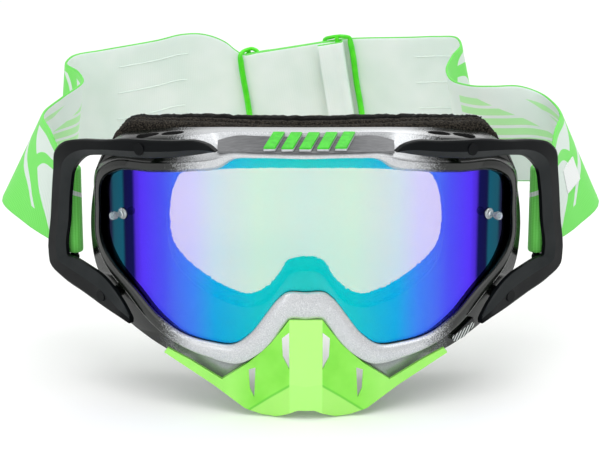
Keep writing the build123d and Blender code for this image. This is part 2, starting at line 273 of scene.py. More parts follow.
def recoat(obj, material):
    """One material alone on an object."""
    obj.data.materials.clear()
    obj.data.materials.append(material)
    return obj


def repaint(node, material):
    """A better material on a CAD node whose shape stays."""
    return recoat(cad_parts[node], material)


# ---- material helpers ----

def colour(code):
    """A linear colour from its hex code."""
    parts = [int(code[i:i + 2], 16) / 255 for i in (0, 2, 4)]
    parts = [c / 12.92 if c <= 0.04045 else ((c + 0.055) / 1.055) ** 2.4 for c in parts]
    return tuple(parts) + (1.0,)


class Finish:
    """A material in the making: its tree, its Principled shader and short ways to add to it."""

    def __init__(self, name, base, roughness=0.5, metallic=0.0, **sockets):
        self.material = bpy.data.materials.new(name)
        self.material.use_nodes = True
        self.tree = self.material.node_tree
        self.shader = self.tree.nodes["Principled BSDF"]
        self.output = self.tree.nodes["Material Output"]
        self.paint(base)
        self.set("Roughness", roughness)
        self.set("Metallic", metallic)
        for key, value in sockets.items():
            self.set(key.replace("_", " "), value)

    def set(self, socket, value):
        self.put(value, self.shader.inputs[socket])

    def paint(self, value):
        self.set("Base Color", value)

    def put(self, value, socket):
        """A node's output, a plain value or a colour's hex code into a socket."""
        if isinstance(value, bpy.types.NodeSocket):
            self.tree.links.new(value, socket)
        else:
            socket.default_value = colour(value) if isinstance(value, str) else value

    def node(self, kind, inputs=(), **settings):
        """A node with its inputs by name or number, and its settings."""
        made = self.tree.nodes.new("ShaderNode" + kind)
        for key, value in settings.items():
            setattr(made, key, value)
        for key, value in dict(inputs).items():
            self.put(value, made.inputs[key])
        return made

    def place(self, uv=False):
        """Where a point is, in metres: on the object, or along and across a ribbon."""
        return self.node("TexCoord").outputs["UV" if uv else "Object"]

    def axis(self, name, source=None):
        parts = self.node("SeparateXYZ", {0: source or self.place()})
        return parts.outputs[name]

    def math(self, operation, a, b=0.0, clamp=False):
        made = self.node("Math", {0: a, 1: b}, operation=operation, use_clamp=clamp)
        return made.outputs[0]

    def plus(self, a, b):
        return self.math("ADD", a, b)

    def minus(self, a, b):
        return self.math("SUBTRACT", a, b)

    def times(self, a, b):
        return self.math("MULTIPLY", a, b)

    def aside(self):
        """How far a point is from the middle, to either side."""
        return self.math("ABSOLUTE", self.axis("X"))

    def noise(self, size, detail=2.0, source=None, stretch=None, rough=0.5):
        """Noise whose grains are about size millimetres across."""
        spot = source or self.place()
        if stretch:
            spot = self.node("Mapping", {0: spot, "Scale": stretch}).outputs[0]
        made = self.node("TexNoise", {"Vector": spot, "Scale": 1 / (size * MM), "Detail": detail,
                                      "Roughness": rough})
        return made.outputs["Fac"]

    def ramp(self, value, stops):
        """A colour for each place along 0 to 1."""
        made = self.node("ValToRGB", {0: value})
        points = made.color_ramp.elements
        while len(points) < len(stops):
            points.new(0.5)
        for point, (at, code) in zip(points, stops):
            point.position = at
            point.color = colour(code)
        return made.outputs["Color"]

    def fade(self, value, low, high, to_low=0.0, to_high=1.0):
        """A value carried from one range to another and held at its ends."""
        made = self.node("MapRange", {0: value, 1: low, 2: high, 3: to_low, 4: to_high})
        return made.outputs[0]

    def mix(self, factor, a, b):
        made = self.node("Mix", data_type="RGBA")
        self.put(factor, made.inputs[0])
        self.put(a, made.inputs[6])
        self.put(b, made.inputs[7])
        return made.outputs[2]

    def patches(self, size, a, b, detail=2):
        """Two colours in soft patches about size millimetres across."""
        return self.mix(self.fade(self.noise(size, detail), 0.35, 0.65), a, b)

    def bump(self, height, strength, distance=0.1):
        """Relief; distance in millimetres."""
        made = self.node("Bump", {"Height": height, "Strength": strength,
                                  "Distance": distance * MM})
        self.set("Normal", made.outputs[0])


def grain(finish, size=0.35, strength=0.25, spread=0.05, roughness=0.45):
    """Moulded plastic's fine texture: a little relief and uneven gloss."""
    fine = finish.noise(size, 3)
    broad = finish.noise(size * 22, 2)
    finish.bump(fine, strength, 0.06)
    finish.set("Roughness", finish.fade(broad, 0.3, 0.7, roughness - spread, roughness + spread))


# ---- materials ----

def paint_finish():
    """Silver that breaks up into black through fine speckle towards the sides, with painted shade
    below the rim's step.
    """
    f = Finish("frame_paint", "c9ccd0", 0.34)
    x, z = f.aside(), f.axis("Z")
    start = f.fade(z, -0.02, 0.03, 0.040, 0.035)  # the change begins nearer the middle higher up
    share = f.fade(f.minus(x, start), 0.0, 0.026)
    level = f.plus(f.times(share, 0.75), f.times(f.noise(0.45, 2), 0.6))
    black = f.fade(level, 0.46, 0.80)
    fine = f.noise(0.3, 1)
    silver = f.ramp(fine, [(0.3, "b4b7ba"), (0.6, "d2d4d6"), (0.8, "eceded")])
    dark = f.ramp(f.noise(9, 1), [(0.3, "070a08"), (0.7, "10150f")])
    # painted shade: under the rim's step the body is painted greyer, and darkest right at the step,
    # for the shade of the recess there
    depth = f.minus(f.axis("Y"), LENS_AXIS * MM)
    reach = f.math("SQRT", f.plus(f.times(x, x), f.times(depth, depth)))
    low = f.fade(z, -0.034, -0.040)
    under = f.times(f.fade(reach, 0.1114, 0.1106), low)
    step = f.times(f.fade(reach, 0.1086, 0.1096), under)
    silver = f.mix(f.times(under, 0.6), silver, "7b8180")
    silver = f.mix(f.times(step, 0.85), silver, "1a1d1c")
    f.paint(f.mix(black, silver, dark))
    f.set("Metallic", f.fade(black, 0, 1, 0.6, 0.0))
    f.set("Roughness", f.fade(black, 0, 1, 0.36, 0.2))
    f.bump(fine, 0.06, 0.05)
    return f.material


def tunnel_finish():
    f = Finish("tunnel_black", "050606", 0.75)
    grain(f, 0.5, 0.3, 0.05, 0.75)
    return f.material


def plate_finish():
    """The brow plate's grey: lighter towards its ends, lightly brushed."""
    f = Finish("brow_grey", "6b6c6e", 0.4, 0.35)
    brushed = f.noise(0.5, 2, stretch=(0.08, 1, 1))
    ends = f.fade(f.aside(), 0.018, 0.034)
    worn = f.ramp(brushed, [(0.3, "4d4e50"), (0.7, "6f7072")])
    f.paint(f.mix(f.times(ends, 0.5), worn, "8a8b8d"))
    f.bump(brushed, 0.1, 0.05)
    return f.material


def plastic_finish(name, code, second, roughness=0.45, relief=0.22, shine=0.5):
    f = Finish(name, code, roughness, Specular_IOR_Level=shine)
    f.paint(f.patches(14, code, second, 3))
    grain(f, 0.4, relief, 0.05, roughness)
    return f.material


def green_finish():
    """Lime plastic of the nose guard, a little translucent; its middle rib, outer sides and lower
    facet are painted paler as painted highlight, and its fold line darker as painted shade.
    """
    f = Finish("guard_green", "8de84a", 0.36, Subsurface_Weight=0.25, Subsurface_Scale=0.002)
    f.set("Subsurface Radius", (0.6, 1.0, 0.3))
    x = f.aside()
    # painted highlight: the middle rib is painted paler
    middle = f.fade(x, 0.0062, 0.0067, 1.0, 0.0)
    height = f.plus(f.axis("Z"), f.times(x, 0.765))
    low = f.fade(height, -0.0490, -0.0496)
    # painted shade along the fold line between the upper and lower facets
    painted_crease_shade = f.fade(f.math("ABSOLUTE", f.plus(height, 0.0492)), 0.0003, 0.0008, 1.0, 0.0)
    side = f.patches(11, "7fdc3c", "8ee64e")
    # painted highlight: the outer sides and the facet below the fold are painted paler
    side = f.mix(f.times(f.fade(x, 0.020, 0.030), 0.5), side, "b2f67c")
    side = f.mix(f.times(low, 0.85), side, "aeee74")
    # painted shade darkens the fold line
    side = f.mix(f.times(painted_crease_shade, 0.7), side, "4fc51c")
    f.paint(f.mix(middle, side, "b3f67d"))
    f.bump(f.noise(0.5, 3), 0.12, 0.05)
    return f.material


def lens_finish():
    """A mirror coat whose colour runs from cyan to violet, over a clear plate.

    What the coat doesn't reflect comes through, so the see-through tint is its complement.
    """
    f = Finish("lens_mirror", "00c8d8", 0.035, 1.0)
    along = f.math("DIVIDE", f.aside(), 0.085, clamp=True)
    coat = f.ramp(along, [(0.0, "00a8a6"), (0.22, "00a2b6"), (0.42, "008ad0"), (0.52, "2c6ade"),
                          (0.66, "3c44de"), (0.77, "4c2ee2"), (0.795, "4628c0"), (0.81, "0a0c48"),
                          (0.85, "08083c"), (0.862, "0a5064"), (0.905, "0c4a5c"), (0.92, "0a0c34")])
    through = f.ramp(along, [(0.0, "e0b0aa"), (0.35, "e2be78"), (0.62, "dcd070"), (0.78, "a09878"),
                             (0.81, "303038")])
    f.paint(coat)
    f.set("Roughness", f.fade(f.noise(16, 2), 0.35, 0.7, 0.02, 0.06))
    clear = f.node("BsdfTransparent", {0: through})
    both = f.node("AddShader", {0: clear.outputs[0], 1: f.shader.outputs[0]})
    f.put(both.outputs[0], f.output.inputs["Surface"])
    return f.material


def clear_finish():
    f = Finish("clear_plastic", "eef4f6", 0.06, Transmission_Weight=0.85, IOR=1.49)
    f.bump(f.noise(1.2, 1), 0.08, 0.05)
    return f.material


def foam_finish(name, dark, light, roughness=0.95):
    """Open foam: dark cells between paler struts."""
    f = Finish(name, dark, roughness, Specular_IOR_Level=0.15)
    cells = f.node("TexVoronoi", {"Vector": f.place(), "Scale": 1 / (0.9 * MM)}).outputs[0]
    specks = f.noise(0.7, 3, rough=0.7)
    f.paint(f.mix(f.fade(specks, 0.42, 0.62), dark, light))
    f.bump(f.plus(cells, specks), 0.8, 0.5)
    return f.material


def fleece_finish():
    """Brushed black fleece: soft tufts that catch a little light."""
    f = Finish("fleece", "0c0c0d", 1.0, Specular_IOR_Level=0.1, Sheen_Weight=0.08)
    tufts = f.noise(1.4, 4, rough=0.75)
    f.paint(f.ramp(tufts, [(0.35, "050505"), (0.7, "1b1a19")]))
    f.bump(tufts, 0.9, 0.8)
    return f.material


def stripes(f, spot, direction, period, wobble=0.0):
    """Soft stripes with a period in millimetres."""
    return f.node("TexWave", {"Vector": spot, "Scale": 2 * pi / 20 / (period * MM),
                              "Distortion": wobble}, bands_direction=direction).outputs["Fac"]


def web(f, strength):
    """Ribs across the ribbon and threads along it."""
    spot = f.place(uv=True)
    ribs = stripes(f, spot, "X", 1.1, 0.4)
    threads = stripes(f, spot, "Y", 0.8, 0.5)
    weave = f.plus(f.times(ribs, 0.6), f.times(threads, 0.4))
    f.bump(weave, strength, 0.12)
    return spot, weave


def slant(f, spot, angle, pitch, shift=0.0, sway=0.0):
    """A saw from 0 to 1 that repeats along a slanted direction; pitch and sway in millimetres."""
    u, v = f.axis("X", spot), f.axis("Y", spot)
    ahead = f.plus(f.times(u, cos(angle)), f.times(v, sin(angle)))
    if sway:
        drift = f.minus(f.noise(26, 0, spot), 0.5)
        ahead = f.plus(ahead, f.times(drift, sway * MM))
    return f.math("FRACT", f.plus(f.math("DIVIDE", ahead, pitch * MM), shift))


def band(f, value, low, high):
    """One between two values, with crisp edges."""
    return f.times(f.math("GREATER_THAN", value, low), f.math("LESS_THAN", value, high))


def strap_outer_finish():
    """Saturated green webbing woven with pale slanted blocks and fine bars."""
    f = Finish("strap_outer", "5fe05a", 0.72, Sheen_Weight=0.15)
    spot, weave = web(f, 0.35)
    v = f.axis("Y", spot)
    broad = slant(f, spot, radians(38), 44.0, 0.15, 30.0)
    fine = slant(f, spot, radians(-52), 34.0, 0.4, 22.0)
    blocks = f.times(band(f, broad, 0.0, 0.3), band(f, fine, 0.06, 0.9))
    bars = f.times(band(f, broad, 0.55, 0.63), f.math("LESS_THAN", v, 0.034))
    pattern = f.times(f.math("MAXIMUM", blocks, bars), band(f, v, 0.0032, 0.0398))
    green = f.mix(f.fade(weave, 0.2, 0.8), "62d24e", "78e264")
    pale = f.mix(f.fade(weave, 0.2, 0.8), "c4d4ca", "dbe6df")
    f.paint(f.mix(pattern, green, pale))
    return f.material


def strap_inner_finish():
    """Pale inner face with a rubbery sheen; near the ends the outer pattern shows in light green."""
    f = Finish("strap_inner", "e6f2ec", 0.42, Coat_Weight=0.25, Coat_Roughness=0.3)
    spot, _ = web(f, 0.15)
    u, v = f.axis("X", spot), f.axis("Y", spot)
    near_end = band(f, u, 0.058, 0.128)
    inside = band(f, v, 0.005, 0.038)
    broad = slant(f, spot, radians(66), 26.0, 0.05)
    lines = slant(f, spot, radians(90), 4.4)
    blocks = f.times(band(f, broad, 0.1, 0.72), f.math("GREATER_THAN", lines, 0.3))
    printed = f.times(f.times(f.times(near_end, inside), blocks), 0.8)
    pale = f.patches(24, "e0efe7", "ecf6f1")
    f.paint(f.mix(printed, pale, "aef69c"))
    return f.material


def slide_finish():
    f = Finish("slide_green", "4fe01a", 0.34, Subsurface_Weight=0.15, Subsurface_Scale=0.001)
    f.paint(f.patches(6, "46d816", "58e822"))
    f.bump(f.noise(0.6, 2), 0.1, 0.05)
    return f.material


def badge_finish(name, first, second, roughness=0.38):
    f = Finish(name, first, roughness)
    f.paint(f.patches(2.2, first, second))
    f.bump(f.noise(0.5, 2), 0.12, 0.05)
    return f.material


def lozenge_finish():
    """A rubber patch cut across by fine pale lines."""
    f = Finish("side_badge_rubber", "101312", 0.5)
    spot = f.place()
    along = f.plus(f.axis("X", spot), f.times(f.axis("Z", spot), -0.5))
    lines = f.math("FRACT", f.math("DIVIDE", along, 1.15 * MM))
    across = f.minus(f.axis("Z", spot), f.times(f.axis("X", spot), 0.5))
    inside = band(f, across, -0.0741, -0.0706)
    f.paint(f.mix(f.times(band(f, lines, 0.2, 0.66), inside), "101312", "c9cfcc"))
    f.bump(lines, 0.3, 0.1)
    return f.material


def silicone_finish():
    f = Finish("silicone", "e4f1ea", 0.3)
    f.bump(f.noise(1.5, 2), 0.2, 0.1)
    return f.material


def tag_finish():
    f = Finish("tag_cloth", "e9ecea", 0.85)
    weave = stripes(f, f.place(), "Z", 0.6, 0.3)
    f.paint(f.mix(f.fade(weave, 0.2, 0.8), "d8dcda", "f1f3f2"))
    f.bump(weave, 0.4, 0.1)
    return f.material


def floor_finish():
    f = Finish("floor_white", "f6f6f6", 0.9, Specular_IOR_Level=0.1)
    f.paint(f.mix(f.fade(f.noise(300, 2), 0.3, 0.7), "f4f4f4", "f8f8f8"))
    return f.material


# ---- frame ----

# Each line goes round the wearer's left from the top middle to the bottom middle, as (x, z), and
# the same place in each line is the same place round the frame.
OPENING = [(0, 35.9), (19, 35.9), (27, 35.2), (33.5, 31), (44, 29), (60, 26.6), (75, 24.4),
           (80.3, 20.5), (82.4, 6), (81.9, -6), (78, -13), (68, -22.5), (59, -31.5), (50, -37.2),
           (38, -39.6), (28, -39.4), (22, -35), (15.6, -26.5), (10.4, -19.8), (8, -17.8), (0, -17.4)]
RIM = [(0, 37.5), (19, 37.5), (29, 37.1), (37, 34.9), (46, 33.2), (61, 31), (77, 28.5), (83, 23.5),
       (85.3, 7), (85, -7), (81.3, -15.5), (71.5, -25.5), (62.5, -34.8), (53, -41), (38, -45.8),
       (26, -46.9), (18.5, -42.4), (12.9, -36.8), (8.4, -30.2), (6.5, -27.8), (0, -27.8)]
# where the rim's step ends, and the front corner of the frame's body: (x, z, distance from axis)
FOOT = [(0, 41.3, 100.4), (20, 41.2, 100.4), (31, 40.3, 101.5), (38.6, 36.3, 107.2),
        (46.6, 34, 109.2), (61.5, 31.7, 109.4), (77.6, 29.1, 109.4), (83.7, 24, 110.2),
        (85.7, 7.2, 110.6), (85.5, -7.2, 110.6), (82, -16, 109.8), (72.2, -26.1, 109),
        (63, -35.6, 108.8), (53.6, -42, 109), (38, -46.7, 109), (25.8, -47.9, 109),
        (18, -43.4, 109), (12.3, -37.7, 109), (7.9, -31, 109.6), (6.1, -28.4, 109.6),
        (0, -28.4, 109.6)]
CREST = [(0, 43.9, 99.4), (20, 43.8, 99.4), (33, 43.2, 100.6), (41, 42.2, 103.2),
         (48.5, 41.2, 105.8), (61.5, 39.4, 107.4), (72.5, 37, 108), (79.8, 31.5, 108.8),
         (86.6, 10, 110), (87.6, -6, 110.4), (86.2, -17.5, 109.8), (82.3, -27, 108.8),
         (74.5, -37, 108.2), (63, -43.6, 108.2), (51, -48.8, 108), (36, -57.3, 107.6),
         (27, -51.4, 107.6), (17, -40.8, 107.8), (8.4, -31.6, 108.4), (5.2, -29.4, 108.4),
         (0, -29.4, 108.4)]
BACK = [(0, 41.8), (20, 41.7), (34, 41.4), (43, 41), (51, 40.6), (63, 39), (73.5, 36.8),
        (80.2, 31), (86.9, 10), (88, -6), (86.6, -17.5), (82.8, -27), (75, -37.2), (64, -44.6),
        (52, -49.4), (36.4, -57.6), (27, -51.8), (17, -41.2), (8.4, -31.8), (5.2, -29.6),
        (0, -29.6)]
FACE = [(0, 25.6), (16, 25.6), (26, 25.2), (31, 24.8), (37, 24.2), (46, 23.2), (52.4, 21.4),
        (54.8, 15), (56.2, 5), (55.8, -4), (54.6, -11), (51.5, -17.5), (46, -23), (39.5, -28),
        (32, -31.5), (24, -33.5), (16, -31), (10.5, -24.5), (5.5, -18.4), (2.5, -17.6),
        (0, -17.5)]
# the vents of the top and bottom wall: x of each, how far in front of the back, and z of the cut
VENTS = [((52.3, 62.4), 12.5, (35.2, 50.0)), ((52.0, 61.5), 11.0, (-55.0, -39.2))]
VENT_TURN = radians(17.0)
VENT_HALF, VENT_RADIUS = 1.4, 3.3


def frame_rings():
    """The frame's skin as rings of points, each a cut through it, going round the opening."""
    opening, rim, foot, crest, back, face = (
        ring(line) for line in (OPENING, RIM, FOOT, CREST, BACK, FACE))
    foot_line, foot_from_axis = foot[:, :2], foot[:, 2]
    crest_line, crest_from_axis = crest[:, :2], crest[:, 2]
    lip, groove = outward(opening, 0.25), outward(opening, 1.5)
    face_depth, back_depth = back_y(face[:, 0]), back_y(back[:, 0])

    def wall(line, out):
        """A line on the upright round wall that lies a distance in front of the lens."""
        return at_depth(line, front_y(line[:, 0], LENS_RADIUS + out))

    rings = [
        wall(opening, -1.7), wall(groove, -1.6), wall(groove, 0.4), wall(opening, 0.5),
        wall(opening, 1.5), wall(lip, 2.0), wall(opening * 0.72 + rim * 0.28, 2.9),
        wall(opening * 0.14 + rim * 0.86, 2.9), wall(rim, 2.3),
        at_depth(outward(rim, 0.15), front_y(rim[:, 0], LENS_RADIUS + 1.6)),
        at_depth(foot_line, front_y(foot[:, 0], foot_from_axis)),
        at_depth(crest_line * 0.93 + foot_line * 0.07, front_y(crest[:, 0], crest_from_axis + 0.5)),
        at_depth(crest_line, front_y(crest[:, 0], crest_from_axis - 0.6)),
        at_depth(crest_line * 0.5 + back * 0.5,
                 (front_y(crest[:, 0], crest_from_axis) + back_depth) / 2),
        at_depth(back, back_depth - 1.2), at_depth(outward(back, -0.9), back_depth - 0.1),
        at_depth(face, face_depth - 0.1), at_depth(face, face_depth - 2.6),
        at_depth(opening * 0.92 + face * 0.08, front_y(opening[:, 0], LENS_RADIUS - 1.7) + 1.2),
    ]
    return np.stack(rings, 1)


def vent_cutters(side):
    """Rounded slots that cut the frame's top and bottom walls on one side."""
    turn = VENT_TURN * side
    outline = [(VENT_HALF + VENT_RADIUS * cos(a), VENT_RADIUS * sin(a))
               for a in np.arange(7) * pi / 6 - pi / 2]
    outline += [(-u, -v) for u, v in outline]
    parts = []
    for xs, ahead, heights in VENTS:
        for x in xs:
            y = back_y(x) - ahead
            spots = [(side * x + u * cos(turn) - v * sin(turn), y + u * sin(turn) + v * cos(turn))
                     for u, v in outline]
            parts.append(loft([[(px, py, z) for px, py in spots] for z in heights],
                              round_path=False))
    return parts


def make_frame(materials):
    rings = frame_rings()
    points, faces = loft(rings)
    count = rings.shape[1]
    # the groove and the inside of the tunnel are unpainted
    marks = [1 if j % count >= count - 3 or j % count < 3 else 0 for j in range(len(faces))]
    shell = piece("frame_shell_skin", points, faces, materials, marks, sharp=40)
    cutters = joined(vent_cutters(1) + vent_cutters(-1))
    combine(shell, piece("vent_cutters", *cutters, materials[1:]), "DIFFERENCE")
    tidy(shell, 40)
    settle(shell, "root", "frame_paint", "frame_shell")


# ---- brow plate and badges ----

def make_brow_plate(material):
    """A shallow plate on the brow's slope, tapering to a point beside each outrigger."""
    rings = []
    for x in np.linspace(-34.0, 34.0, 61):
        share = max(0.0, (abs(x) - 24.0) / 10.0)
        near_z = 38.5 - 0.6 * share
        far_z = 42.3 - 1.6 * share ** 1.5
        near = front_y(x, 111.6) + 0.6 * share
        far = front_y(x, 101.0 - 0.6 * share) * (1 - 0.45 * share ** 2) + near * 0.45 * share ** 2
        rings.append([(x, near, near_z - 1.0), (x, near - 0.1, near_z - 0.1),
                      (x, near + 0.5, near_z + 0.35), (x, far - 0.5, far_z + 0.1),
                      (x, far, far_z - 0.2), (x, far + 0.1, far_z - 1.2)])
    plate = piece("brow_plate_skin", *loft(rings, round_path=False), [material], sharp=30)
    settle(plate, "root", "grey_plastic", "brow_plate")


def make_brow_badge(top, side):
    """Five slanted raised bars, green on top and silver below."""
    parts, marks = [], []
    for x in (-12.2, -5.4, 1.4, 8.2, 15.0):
        lean, half = 1.5, 2.6
        near, far = front_y(x, 111.2), front_y(x, 100.6)
        base = [(x - lean - half, near, 38.6), (x - lean + half - 0.6, near, 38.6),
                (x + lean + half, far, 42.3), (x + lean - half + 0.6, far, 42.3)]
        crown = [(px, py - (0.9 if k < 2 else -0.3), pz + 1.9) for k, (px, py, pz) in enumerate(base)]
        middle = [tuple(a * 0.38 + b * 0.62 for a, b in zip(p, q)) for p, q in zip(base, crown)]
        parts.append((base + middle + crown,
                      [(3, 2, 1, 0), (8, 9, 10, 11)]
                      + [(a, (a + 1) % 4, 4 + (a + 1) % 4, 4 + a) for a in range(4)]
                      + [(4 + a, 4 + (a + 1) % 4, 8 + (a + 1) % 4, 8 + a) for a in range(4)]))
        marks += [1, 0] + [1] * 4 + [0] * 4
    badge = piece("brow_badge_bars", *joined(parts), [top, side], marks)
    bevel(badge, 0.35)
    settle(badge, "root", "badge_rubber", "brow_badge")


# ---- lens and posts ----

def make_lens(material):
    """A thin curved plate whose edge sits in the frame's groove."""
    edge = outward(ring(OPENING, 10), 1.0)
    left_end, right_end = int(np.argmax(edge[:, 0])), int(np.argmin(edge[:, 0]))
    upper = np.vstack([edge[right_end:], edge[:left_end + 1]])
    lower = edge[left_end:right_end + 1][::-1]
    xs = edge[left_end, 0] * np.sin(np.linspace(-pi / 2, pi / 2, 129))
    top_z, foot_z = (np.interp(xs, line[:, 0], line[:, 1]) for line in (upper, lower))
    rows = 10
    rings = []
    for x, high, low in zip(xs, top_z, foot_z):
        zs = high + (low - high) * np.arange(rows + 1) / rows
        face = [(x, front_y(x, LENS_RADIUS), z) for z in zs]
        rear = [(x, front_y(x, LENS_RADIUS - 1.2), z) for z in zs[::-1]]
        rings.append(face + rear)
    lens = piece("lens_plate", *loft(rings, round_path=False), [material], sharp=50)
    settle(lens, "root", "lens_mirror", "lens")


def make_posts(clear, dark):
    """Tear-off posts: a flanged foot, a thin stem and a rounded head, with a nut behind."""
    profile = [(0.05, 0.4), (0.05, 2.2), (0.5, 2.3), (0.95, 2.0), (1.15, 1.15), (2.2, 0.95),
               (3.6, 1.05), (4.0, 1.5), (4.7, 1.65), (5.9, 1.6), (6.5, 1.2), (6.8, 0.5)]
    for name, side in (("left", 1), ("right", -1)):
        spot, way = lens_square(side * POST_AT[0], POST_AT[1], LENS_RADIUS)
        turned = lathe(profile, spot, way)
        post = piece(f"tear_off_post_{name}_turned", *turned, [clear], sharp=45)
        settle(post, "root", "clear_plastic", f"tear_off_post_{name}")
    repaint("post_nuts", dark)


# ---- foam ----

FOAM_OUT = [(0, 40.8), (22, 41.2), (44, 41.6), (60, 41), (71.6, 40), (76.4, 35.3), (77.8, 16),
            (77.5, 0), (75, -16), (68, -28), (58, -37), (46, -42), (34, -45.6), (22.5, -43.4),
            (13.5, -34.5), (5.5, -26), (0, -25.2)]
FOAM_IN = [(0, 20.4), (18, 20.2), (34, 19.4), (44, 18.4), (51, 17), (54.4, 12), (55.8, 5),
           (56, -2), (54, -12.5), (47, -20.5), (39.5, -26), (31, -30.4), (24, -32.4), (16.5, -29.5),
           (11.4, -24), (7.4, -17.8), (0, -16)]


def make_foam(name, near, far, shrink, lift, crown, material, slot_name, ragged):
    """A soft ring between two depths behind the frame, bulging on its free sides."""
    outer, inner = ring(FOAM_OUT, 12), ring(FOAM_IN, 12)
    outer, inner = outward(outer, -shrink), outward(inner, shrink)
    inner[:, 1] += lift * np.clip(inner[:, 1] / 18, 0, 1) ** 2
    reach = np.clip(np.abs(outer[:, 0]) / 75, 0, 1)
    outer[:, 1] += crown * np.clip(outer[:, 1] / 35, 0, 1) ** 4 * np.cos(pi / 2 * reach)
    thick = far - near
    section = [(outer, -0.25, 0.04), (outer, 0.5, 0.22), (outer, 0.75, 0.5), (outer, 0.5, 0.78),
               (outer, -0.3, 0.97), (0.7, 0, 1.0), (0.3, 0, 1.0), (inner, 0.4, 0.97),
               (inner, -0.5, 0.75), (inner, -0.7, 0.5), (inner, -0.4, 0.25), (inner, 0.3, 0.04),
               (0.3, 0, 0.0), (0.7, 0, 0.0)]
    rings = []
    for line, out, level in section:
        spots = outer * line + inner * (1 - line) if isinstance(line, float) else outward(line, out)
        rings.append(at_depth(spots, back_y(spots[:, 0]) + near + thick * level))
    rings = np.stack(rings, 1)
    points, faces = loft(rings)
    dice = np.random.default_rng(len(name))
    points = points + dice.normal(0, ragged, points.shape)
    foam = piece(name + "_pad", points, faces, [material], sharp=180)
    settle(foam, "root", slot_name, name)


# ---- outriggers ----

# the bracket's outer and inner edge, as (x, z), from its upper tip round to its lower one
BRACKET = [((34.2, 38.8), (34.3, 38.3)), ((36.6, 40.7), (36.4, 37.9)), ((41, 42), (40.5, 36.9)),
           ((51.5, 41.2), (50.5, 34.8)), ((60, 40.4), (59.2, 33.3)), ((70, 39.4), (70, 32)),
           ((80, 37), (81.5, 30.6)), ((91.5, 34.7), (88.4, 28.2)), ((97, 32.8), (91.4, 25.3)),
           ((101.3, 28.4), (93.6, 22)), ((102.5, 20), (95.1, 15)), ((104.4, 0), (96.6, 0)),
           ((106, -16.6), (98, -13.2)), ((105.4, -20.6), (97.6, -15.2)),
           ((99, -25.4), (94.8, -15.4)), ((90, -28.8), (88.4, -17.2)), ((83.4, -31.4), (82.2, -19.5)),
           ((75, -34.4), (73, -28.6)), ((70, -36.2), (70.2, -33.2))]


def pad_spot(x, out):
    """(x, y) on the bracket's path seen from above, moved outward, on the wearer's left."""
    if x <= PAD_BEND:
        centre = np.array([0, LENS_AXIS])
        way = np.array([x, -sqrt(PAD_RADIUS ** 2 - x ** 2)]) / PAD_RADIUS
        return centre + way * (PAD_RADIUS + out)
    start = np.array([PAD_BEND, LENS_AXIS - sqrt(PAD_RADIUS ** 2 - PAD_BEND ** 2)])
    run = np.array(PAD_END) - start
    share = (x - PAD_BEND) / run[0]
    run /= np.linalg.norm(run)
    return start + (np.array(PAD_END) - start) * share + np.array([run[1], -run[0]]) * out


def make_outrigger(name, side, materials):
    """A faceted bracket with a ridge along it, and the upright bar that holds the strap."""
    outer = smooth([o for o, i in BRACKET], 5)
    inner = smooth([i for o, i in BRACKET], 5)
    rings = []
    count = len(outer)  # cuts along the bracket
    for k, (o, i) in enumerate(zip(outer, inner)):
        full = min(1.0, 0.3 + 0.14 * min(k, count - 1 - k))  # the ridge fades at the tips
        section = [(0.0, -1.5), (0.0, 0.9), (0.08, 1.5), (0.6, 2.3 * full), (0.94, 1.0),
                   (1.0, 0.4), (1.0, -1.3), (0.5, -1.8)]
        spots = [(o + (i - o) * share, out) for share, out in section]
        rings.append([(pad_spot(x, out) * (side, 1)).tolist() + [z] for (x, z), out in spots])
    parts = [loft(rings, round_path=False)]
    # the ridge's inner facet pair takes a paler copy of the black plastic: painted light where it
    # faces the front light
    marks = [1 if k % 8 in (3, 4) else 0 for k in range(8 * (count - 1))]  # the ridge's facets
    bar = [(side * STRAP_BAR[0], STRAP_BAR[1], z)
           for z in np.linspace(STRAP_BAR_FOOT - 0.6, STRAP_BAR_TOP + 0.6, 9)]
    parts.append(tube(bar, [1.2] + [2.0] * 7 + [1.2], 16))
    for z in (STRAP_BAR_FOOT, STRAP_BAR_TOP):  # a lug at each end joins the bar to the bracket
        way = np.array([side * 0.69, -0.72, 0])
        near = np.array([side * 97.0, -5.6, z])
        lug = [near - way * 3.2, near - way * 1.0, near + way * 2.0, near + way * 4.4]
        parts.append(tube(lug, [1.4, 1.9, 1.9, 1.5], 10))
    points, faces = joined(parts)
    marks += [0] * (len(faces) - len(marks))
    bracket = piece(f"outrigger_{name}_shell", points, faces, materials, marks, sharp=24)
    settle(bracket, "root", "black_plastic", f"outrigger_{name}")


# ---- nose guard ----

# columns of the folded front face: x, then (z, y from the lens's front) from the top down
GUARD_FOLDS = [
    (0, [(-26, -3.4), (-40, -4.8), (-54.5, -6.0), (-75, -1.5)]),
    (6.3, [(-26, -3.2), (-40, -4.6), (-53.5, -5.6), (-75, -1.0)]),
    (14, [(-26, -1.5), (-40, -1.9), (-60, -1.8), (-75, 2.0)]),
    (24, [(-26, 0.5), (-40, 0.9), (-67.2, 1.4), (-75, 3.5)]),
    (36, [(-26, 4.2), (-40, 4.4), (-73, 6.0), (-75, 6.2)]),
    (59, [(-26, 12.2), (-40, 12.6), (-73, 14.0), (-75, 14.2)]),
]
GUARD_THICKNESS = 2.2
GUARD_DEPTHS = (-75, -35)  # in front of it and behind it
GUARD_OUTLINE = [(0, -28), (6.5, -28), (9.3, -32), (13.9, -38.1), (18.6, -42.8), (22.7, -46.7),
                 (33.2, -54.8), (36.4, -53.1), (46, -48), (54.8, -44.2), (56.4, -46.2),
                 (47, -51.6), (36.6, -57.6), (24.3, -65.8), (17.6, -68.1), (12, -68.7),
                 (7.5, -67.1), (3.2, -65.2), (0, -65.2)]
